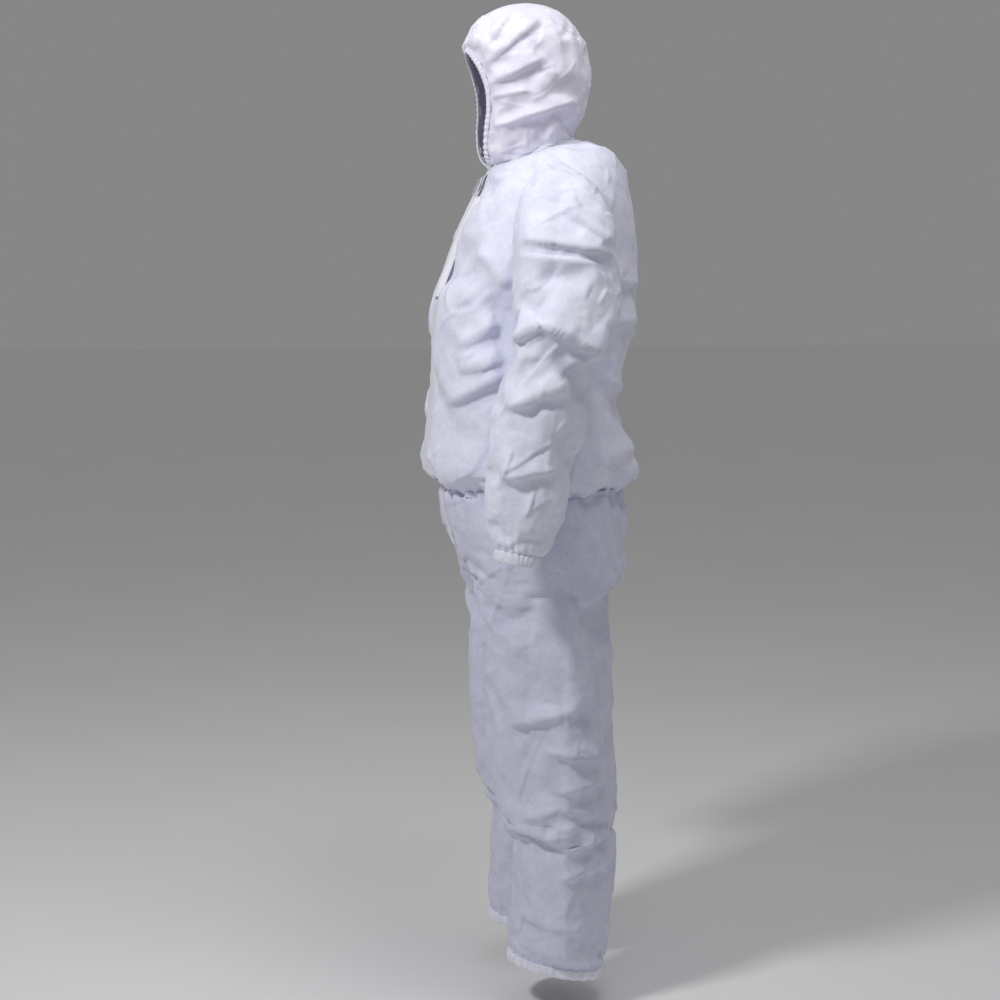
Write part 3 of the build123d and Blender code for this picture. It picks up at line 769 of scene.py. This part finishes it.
# trouser legs: from the waist elastic to the ankle, split above the knee
legCut = {
    "rows": 365,
    "cols": 196,
    # height, middle x, half width, front y, back y, squareness
    "profile": [
        (-0.606, 0.000, 0.187, -0.171, 0.157, 2.1),
        (-0.622, 0.000, 0.192, -0.171, 0.158, 2.15),
        (-0.650, 0.000, 0.200, -0.169, 0.162, 2.2),
        (-0.690, 0.006, 0.203, -0.160, 0.159, 2.2),
        (-0.725, 0.024, 0.188, -0.147, 0.156, 2.2),
        (-0.755, 0.052, 0.160, -0.134, 0.152, 2.1),
        (-0.772, 0.070, 0.140, -0.126, 0.143, 2.1),
        (-0.790, 0.086, 0.122, -0.120, 0.126, 2.1),
        (-0.830, 0.104, 0.103, -0.112, 0.116, 2.1),
        (-0.900, 0.108, 0.099, -0.106, 0.118, 2.1),
        (-0.980, 0.110, 0.096, -0.104, 0.121, 2.1),
        (-1.060, 0.112, 0.093, -0.100, 0.124, 2.1),
        (-1.130, 0.114, 0.091, -0.092, 0.127, 2.1),
        (-1.195, 0.116, 0.089, -0.082, 0.128, 2.1),
        (-1.222, 0.117, 0.087, -0.073, 0.127, 2.1),
        (-1.245, 0.117, 0.085, -0.065, 0.127, 2.1),
        (-1.320, 0.118, 0.081, -0.062, 0.125, 2.1),
        (-1.400, 0.119, 0.078, -0.063, 0.119, 2.1),
        (-1.450, 0.120, 0.076, -0.064, 0.112, 2.1),
        (-1.478, 0.120, 0.074, -0.064, 0.105, 2.1),
    ],
    "split": -1.010,
    "crotch": -0.762,
    "gap": 0.0006,  # above the crotch each leg stops this far from the centre plane
    "heelDip": 0.21,
    "gathers": 34,
    "gatherHeight": 0.012,
    "gatherReach": (0.045, 0.02, 0.012, 0.012),
    "hemGathers": 28,
    "hemHeight": 0.005,
    "swells": (0.007, 0.2),
    "facets": (0.0036, 0.095),
    "squeeze": (1, 1, 1.6),  # the facets on the legs are shorter than they are wide
    "crinkles": (0.0010, 0.035),
    "folds": (0.09, 0.0042),
    "seed": {"left": 61, "right": 161},
    "growth": 0.04,
    "most": 0.007,
    "creases": [
        (0.125, -0.750, 0.050, -0.800, 0.014, 0.006, 0.050),
        (0.020, -0.990, 0.075, -0.986, 0.009, 0.025, 0.005),
        (-0.070, -1.022, 0.012, -0.995, 0.009, 0.030, 0.005),
        (-0.012, -1.062, 0.085, -1.085, 0.009, 0.025, 0.005),
        (0.000, -1.135, 0.105, -1.125, 0.008, 0.022, 0.005),
        (-0.045, -1.190, 0.005, -1.165, 0.006, 0.012, 0.008),
        (0.005, -1.165, 0.105, -1.190, 0.006, 0.012, 0.008),
        (-0.065, -1.215, -0.015, -1.218, 0.007, 0.030, 0.005),
        (-0.015, -1.218, 0.020, -1.248, 0.006, 0.022, 0.005),
        (0.020, -1.248, 0.105, -1.230, 0.006, 0.018, 0.005),
        (0.010, -1.300, 0.105, -1.280, 0.008, 0.022, 0.006),
        (-0.050, -1.380, 0.060, -1.400, 0.005, 0.020, 0.008),
    ],
    "pressedY": 0.020,  # the leg was folded flat along this line, and stands out as a ridge there
    "pressedReach": 0.065,
    "pressedHeight": 0.022,
}


def makeLeg(cut, side):
    # rings of the profile about a middle line that moves outwards, made on the left, mirrored for the right
    heights = np.array([row[0] for row in cut["profile"]])
    z = np.interp(np.linspace(0, 1, cut["rows"]), np.linspace(0, 1, len(heights)), heights)
    mx, half, y0, y1, square = throughRows(cut["profile"], z)
    p = ringPoints(y0, y1, half, 0 * z, square, z, cut["cols"])
    p[..., 0] += mx[:, None]
    # above the crotch the two legs meet on the centre plane
    wide = p[..., 0].copy()
    p[..., 0] = np.maximum(p[..., 0], cut["gap"])
    # the hem dips towards the heel
    dip = smoothStep(-z, 1.25, 1.478)[:, None]
    p[..., 2] -= dip * cut["heelDip"] * (p[..., 1] - 0.02)
    n = gridNormals(p)
    seed = cut["seed"][side]
    angle = np.linspace(0, 2 * np.pi, cut["cols"], endpoint=False)[None, :]
    free = smoothStep(wide, cut["gap"], 0.02) * (1 - smoothStep(-z, 1.44, 1.478))[:, None]
    lift = cut["swells"][0] * crumple(p, seed, cut["swells"][1]) * free
    lift += creaseLines(p, n, cut["creases"]) * free
    ridge = np.maximum(1 - np.abs(p[..., 1] - cut["pressedY"]) / cut["pressedReach"], 0)
    outside = smoothStep(n[..., 0], 0.0, 0.4)
    lift += cut["pressedHeight"] * ridge * outside * free * smoothStep(-z, 0.76, 0.9)[:, None]
    p = p + n * lift[..., None]
    # waist, hem, centre seam and flap hold the cloth; the rest is free to fold
    waist = 1 - smoothStep(-z, 0.612, 0.64)
    hem = smoothStep(-z, 1.44, 1.475)
    centre = 1 - smoothStep(wide, 0.004, 0.03)
    centre = np.where(z[:, None] > cut["crotch"] - 0.03, centre, 0.0)
    flap = flatFront(p, 0.035, 0.06) * (z[:, None] > cut["crotch"])
    hold = np.maximum(np.maximum(np.maximum(waist, hem)[:, None], np.maximum(centre, flap)), 0.33)
    p = settle(p, hold, cut["growth"], cut["most"])
    p[..., 0] = np.maximum(p[..., 0], cut["gap"])
    n = gridNormals(p)
    lift = fineRelief(p, cut, (seed + 5, seed + 6, seed + 200), cut["squeeze"]) * free
    lift += 0.5 * creaseLines(p, n, cut["creases"]) * free
    gather = gatherRipple(angle, cut["gathers"], 5) - 0.5
    fromWaist = np.exp(-(heights[0] - z[:, None]) / gatherReach(angle, cut, (5, 8), 1))
    lift += cut["gatherHeight"] * gather * fromWaist * smoothStep(wide, cut["gap"], 0.012)
    hemRipple = gatherRipple(angle, cut["hemGathers"], seed) - 0.5
    lift += cut["hemHeight"] * hemRipple * np.exp(-(z[:, None] - heights[-1]) / 0.03)
    q = p + n * lift[..., None]
    q[..., 0] = np.maximum(q[..., 0], cut["gap"])
    # the faces that would lie flat on the centre plane go
    flat = wide < 0.0004
    beside = np.roll(flat, -1, 1)
    gone = flat[:-1] & beside[:-1] & flat[1:] & beside[1:] & (z[1:, None] > cut["crotch"])
    if side == "right":
        q = mirrored(q)
    k = int(np.searchsorted(-z, -cut["split"]))
    top = gridMesh(side + "LegTop", q[: k + 1], legClothPaintedShade, dropped=gone[:k])
    low = gridMesh(side + "LegLower", q[k:], legClothPaintedShade)
    return top, low, q[-1]


# hems: cuffs and ankles
hemCut = {
    "Cuff": {"downward": (0, -0.25, -1.0), "halfWidth": 0.010, "gathers": 30, "seed": 71},
    "AnkleHem": {"downward": (0, -0.2, -1.0), "halfWidth": 0.009, "gathers": 44, "seed": 73},
}


def makeHem(side, kind, ring):
    # a gathered casing that follows the last ring of a sleeve or leg
    cut = hemCut[kind]
    wide = cut["halfWidth"]
    along = np.roll(ring, -1, 0) - np.roll(ring, 1, 0)
    along /= np.linalg.norm(along, axis=1, keepdims=True)
    outward = ring - ring.mean(axis=0)
    outward -= along * (outward * along).sum(1, keepdims=True)
    outward /= np.linalg.norm(outward, axis=1, keepdims=True)
    across = np.cross(along, outward)
    across *= np.sign((across.mean(axis=0) * np.array(cut["downward"])).sum())
    t = np.linspace(0, 2 * np.pi, len(ring), endpoint=False)
    ripple = gatherRipple(t, cut["gathers"], cut["seed"])
    path = ring + across * (wide * 0.9) + outward * (0.001 * ripple)[:, None]
    thick = 0.002 + 0.0013 * ripple
    return tubeAlong(side + kind, path, across, outward, wide + 0 * ripple, thick, hemCloth, 18)


def makeLimbs(side):
    # a sleeve and a leg with their hems; the cuff goes with the forearm and the ankle hem with the shin
    top, low, wristRing = makeSleeve(sleeveCut, side)
    legTop, legLow, ankleRing = makeLeg(legCut, side)
    for piece in (top, low, legTop, legLow):
        thicken(piece, "cloth")
    cuff = makeHem(side, "Cuff", wristRing)
    ankle = makeHem(side, "AnkleHem", ankleRing)
    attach(cuff, side + "_forearm")
    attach(ankle, side + "_shin")
    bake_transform(top)
    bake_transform(low)
    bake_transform(legTop)
    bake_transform(legLow)
    own = {"sleeveTop": top, "sleeveLow": low, "legTop": legTop, "legLow": legLow}
    return {**own, "cuff": cuff, "ankle": ankle}


limbs = {side: makeLimbs(side) for side in ("left", "right")}
print("sleeves and legs made")

# front closure: storm flap over the zipper, seam strip, tapes
flapCut = {
    "left": -0.020,
    "right": 0.036,
    "root": 0.0395,
    "upper": (-0.058, -0.258),
    "lower": (-0.262, -0.716),
    "stand": 0.0072,
    "lowerStand": 0.0024,
    "wave": 0.0016,
    "waist": -0.609,  # where the front passes from bodice to trousers
    "upperCols": 40,
    "lowerCols": 38,
}
seamCut = {"left": 0.0375, "width": 0.005, "top": -0.046, "bottom": -0.262, "height": 0.0016, "stitch": 0.004}
tapeCut = {"left": -0.018, "right": -0.008, "top": -0.064, "bottom": -0.252, "behind": 0.0009}
labelCut = {"halfWidth": 0.021, "top": -0.135, "bottom": -0.165, "inset": 0.0105}


def frontY(x, z):
    # the front of the bodice, and of the trousers below the waist, as the plain rings give it
    y0, y1, half, _, square = throughRows(bodiceCut["profile"], z)
    low = throughRows(legCut["profile"], z)
    body = (y0 + y1) / 2 - (y1 - y0) / 2 * (1 - np.minimum(np.abs(x) / half, 1) ** square) ** (1 / square)
    share = np.minimum(np.abs(np.abs(x) - low[0]) / low[1], 1)
    trouser = (low[2] + low[3]) / 2 - (low[3] - low[2]) / 2 * (1 - share ** low[4]) ** (1 / low[4])
    return np.where(z > flapCut["waist"], body, trouser)


def flapStrip(name, x, z, off, material):
    # a strip on the front: off is how far it stands from the cloth behind it
    gx, gz = np.meshgrid(x, z)
    y = frontY(gx, gz) - off(gx, gz)
    # above the chest the rings rise towards the back, and the strip follows them
    rise = throughRows(bodiceCut["profile"], np.maximum(gz, flapCut["waist"]))[3]
    tilted = gz + rise * y * (gz > flapCut["waist"])
    return gridMesh(name, np.stack([gx, y, tilted], axis=-1), material, closed=False)


def upperOff(x, z):
    # the flap bridges the zipper: on the cloth at its root, clear of the coil, and sinking at its free edge
    c = flapCut
    bridge = smoothStep(c["root"] - x, 0.0, 0.014)
    edge = 1 - 0.35 * smoothStep(-x, 0.008, 0.020)
    wavy = c["wave"] * waves(np.stack([x, 0 * x, z], axis=-1), 51, 0.05, 6) * 2
    return 0.001 + c["stand"] * bridge * edge + wavy * bridge * smoothStep(-x, -0.03, 0.0)


def lowerOff(x, z):
    # the lower flap lies close to the cloth and lifts over the waist elastic
    c = flapCut
    wavy = waves(np.stack([x, 0 * x, z], axis=-1), 57, 0.06, 6)
    overWaist = 0.003 * smoothStep(-z, 0.60, 0.62) * (1 - smoothStep(-z, 0.62, 0.66))
    return c["lowerStand"] + c["wave"] * 0.7 * wavy + overWaist


def seamOff(x, z):
    # a rounded bead with small stitches along it
    bead = seamCut["height"] * np.sin(np.pi * (x - seamCut["left"]) / seamCut["width"])
    return bead + 0.0002 * np.sin(2 * np.pi * z / seamCut["stitch"]) + 0.0006


def tapeOff(x, z):
    # the sealing tape lies just behind the flap
    return upperOff(x, z) - tapeCut["behind"]


flapX = np.linspace(flapCut["left"], flapCut["root"], flapCut["upperCols"])
seamX = np.linspace(seamCut["left"], seamCut["left"] + seamCut["width"], 8)
tapeX = np.linspace(tapeCut["left"], tapeCut["right"], 6)
seamZ = np.linspace(seamCut["top"], seamCut["bottom"], 260)
tapeZ = np.linspace(tapeCut["top"], tapeCut["bottom"], 200)
flapUpper = flapStrip("flapUpper", flapX, np.linspace(*flapCut["upper"], 220), upperOff, flapCloth)
lowerX = flapX[: flapCut["lowerCols"]]
flapLower = flapStrip("flapLower", lowerX, np.linspace(*flapCut["lower"], 420), lowerOff, flapCloth)
flapSeam = flapStrip("flapSeam", seamX, seamZ, seamOff, hemCloth)
flapTape = flapStrip("flapTape", tapeX, tapeZ, tapeOff, sealingTape)
for piece, kind in ((flapUpper, "flap"), (flapLower, "flap"), (flapSeam, "seam"), (flapTape, "tape")):
    thicken(piece, kind)
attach(flapUpper, "storm_flap")
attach(flapTape, "storm_flap")
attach(flapLower, "bodice")
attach(flapSeam, "bodice")


bandCut = {
    "neckSeam": {"z": 0.003, "inset": 0.0004, "halfHeight": 0.0022, "halfThickness": 0.0013},
    "waistCasing": {"z": flapCut["waist"], "inset": 0.0035, "halfHeight": 0.009, "halfThickness": 0.0035},
}


def ringTube(name, cut, material):
    # a narrow band round the body at one height, inset from the cloth
    band = bandCut[name]
    z = band["z"]
    y0, y1, half, rise, square = throughRows(cut["profile"], np.array([z]))
    ring = ringPoints(y0, y1, half, rise, square, np.array([z]), 360)[0]
    along = np.roll(ring, -1, 0) - np.roll(ring, 1, 0)
    along /= np.linalg.norm(along, axis=1, keepdims=True)
    outward = np.cross(along, np.array([0, 0, 1.0]))
    outward *= np.sign((outward * (ring - ring.mean(axis=0))).sum())
    outward /= np.linalg.norm(outward, axis=1, keepdims=True)
    across = np.cross(along, outward)
    even = np.ones(len(ring))
    path = ring - outward * band["inset"]
    tall, thick = band["halfHeight"] * even, band["halfThickness"] * even
    return tubeAlong(name, path, across, outward, tall, thick, material, 12)


neckSeam = ringTube("neckSeam", bodiceCut, bindingTape)
waistCasing = ringTube("waistCasing", bodiceCut, hemCloth)
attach(neckSeam, "bodice")
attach(waistCasing, "bodice")


def makeLabel(cut):
    # a small blank sheet inside the upper back, following the cloth
    x = np.linspace(-cut["halfWidth"], cut["halfWidth"], 24)
    x, z = np.meshgrid(x, np.linspace(cut["top"], cut["bottom"], 18))
    y0, y1, half, _, square = throughRows(bodiceCut["profile"], z)
    back = (y0 + y1) / 2 + (y1 - y0) / 2 * (1 - (np.abs(x) / half) ** square) ** (1 / square)
    return gridMesh("sizeLabel", np.stack([x, back - cut["inset"], z], axis=-1), labelPaper, closed=False)


sizeLabel = makeLabel(labelCut)
thicken(sizeLabel, "label")
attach(sizeLabel, "bodice")
print("closure and trims made")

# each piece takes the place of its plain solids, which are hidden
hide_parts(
    "front_left_panel", "front_right_panel", "back_panel", "belly_left_panel", "belly_right_panel"
)
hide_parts("hood_left_panel", "hood_right_panel", "hood_centre_panel", "neck_pleat")
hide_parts("face_casing", "face_elastic")
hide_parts("flap_upper")
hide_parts("flap_lower")
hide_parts("flap_root")
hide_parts("flap_tape")
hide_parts("neck_binding")
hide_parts("waist_elastic")
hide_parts("size_label")
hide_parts("seat_panel")
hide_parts("pelvis_pleat", "crotch_gusset")
for side, own in limbs.items():
    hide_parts(side + "_sleeve_upper")
    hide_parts(side + "_sleeve_lower", side + "_elbow_pleat")
    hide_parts(side + "_thigh_front", side + "_thigh_back", side + "_hip_pleat")
    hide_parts(side + "_shin_front", side + "_shin_back", side + "_knee_pleat")
    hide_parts(side + "_cuff", side + "_cuff_elastic")
    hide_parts(side + "_ankle_casing", side + "_ankle_elastic")

for name, material in (
    ("zipper_tape_left", zipperTape),
    ("zipper_tape_right", zipperTape),
    ("zipper_coil_left", zipperNylon),
    ("zipper_coil_right", zipperNylon),
    ("zipper_top_stops", zipperMetal),
    ("zipper_bottom_stop", zipperMetal),
    ("zipper_slider", zipperMetal),
    ("zipper_pull", zipperMetal),
):
    nodes[name].data.materials.clear()
    nodes[name].data.materials.append(material)
print("pieces joined to the frame")

# floor, light and camera
floorCut = {"reach": 30, "height": -1.56}
far, low = floorCut["reach"], floorCut["height"]
floorMesh = bpy.data.meshes.new("floor")
floorCorners = [(-far, -far, low), (far, -far, low), (far, far, low), (-far, far, low)]
floorMesh.from_pydata(floorCorners, [], [(0, 1, 2, 3)])
floorPaint = startMaterial("paleFloorPaint")  # matt and even, with the faintest mottle
floorPlace = addNode(floorPaint, "ShaderNodeTexCoord")
floorLook = {"Scale": 3.0, "Detail": 3.0}
floorMottle = addNode(floorPaint, "ShaderNodeTexNoise", floorLook, {"Vector": (floorPlace, "Object")})
floorColour = mixColours(floorPaint, "F6F6F6", "FCFCFC", (floorMottle, 0))
floorSurface = {"Base Color": (floorColour, 2)}
floorShader = addNode(floorPaint, "ShaderNodeBsdfPrincipled", {"Roughness": 0.9}, floorSurface)
addNode(floorPaint, "ShaderNodeOutputMaterial", {}, {"Surface": (floorShader, 0)})
floorMesh.materials.append(floorPaint)
floor = bpy.data.objects.new("floor", floorMesh)
bpy.context.scene.collection.objects.link(floor)

lightSettings = {
    "world": 0.24,
    "key": {"place": (1.25, -1.75, 1.3), "aim": (0, 0, 0.0), "size": 0.4, "power": 38},
    "top": {"place": (0.7, 0.3, 1.5), "aim": (0, 0, 0), "size": 0.8, "power": 11},
    "back": {"place": (1.6, 2.4, 0.9), "aim": (0, 0, -0.3), "size": 1.4, "power": 3.5},
}
world = bpy.data.worlds.new("paleStudio")
world.use_nodes = True
world.node_tree.nodes["Background"].inputs["Color"].default_value = (1, 1, 1, 1)
world.node_tree.nodes["Background"].inputs["Strength"].default_value = lightSettings["world"]
bpy.context.scene.world = world
bpy.context.scene.view_settings.view_transform = "Standard"


def addLight(name, place, aim, size, power):
    # a square soft light, turned towards its aim
    data = bpy.data.lights.new(name, "AREA")
    data.size = size
    data.energy = power
    obj = bpy.data.objects.new(name, data)
    obj.location = place
    obj.rotation_euler = (Vector(aim) - Vector(place)).to_track_quat("-Z", "Y").to_euler()
    bpy.context.scene.collection.objects.link(obj)


for name in ("key", "top", "back"):
    addLight(name + "Light", **lightSettings[name])

cameraSettings = {
    "lens": 69.8,
    "away": 3.6,
    "height": -0.21,
    "towards": (0.985, -0.174, 0),
    "aim": (0, -0.065, -0.636),
}
cameraData = bpy.data.cameras.new("studioCamera")
cameraData.lens = cameraSettings["lens"]
camera = bpy.data.objects.new("studioCamera", cameraData)
bpy.context.scene.collection.objects.link(camera)
towards = Vector(cameraSettings["towards"]).normalized()
camera.location = towards * cameraSettings["away"] + Vector((0, 0, cameraSettings["height"]))
camera.rotation_euler = (Vector(cameraSettings["aim"]) - camera.location).to_track_quat("-Z", "Y").to_euler()
bpy.context.scene.camera = camera
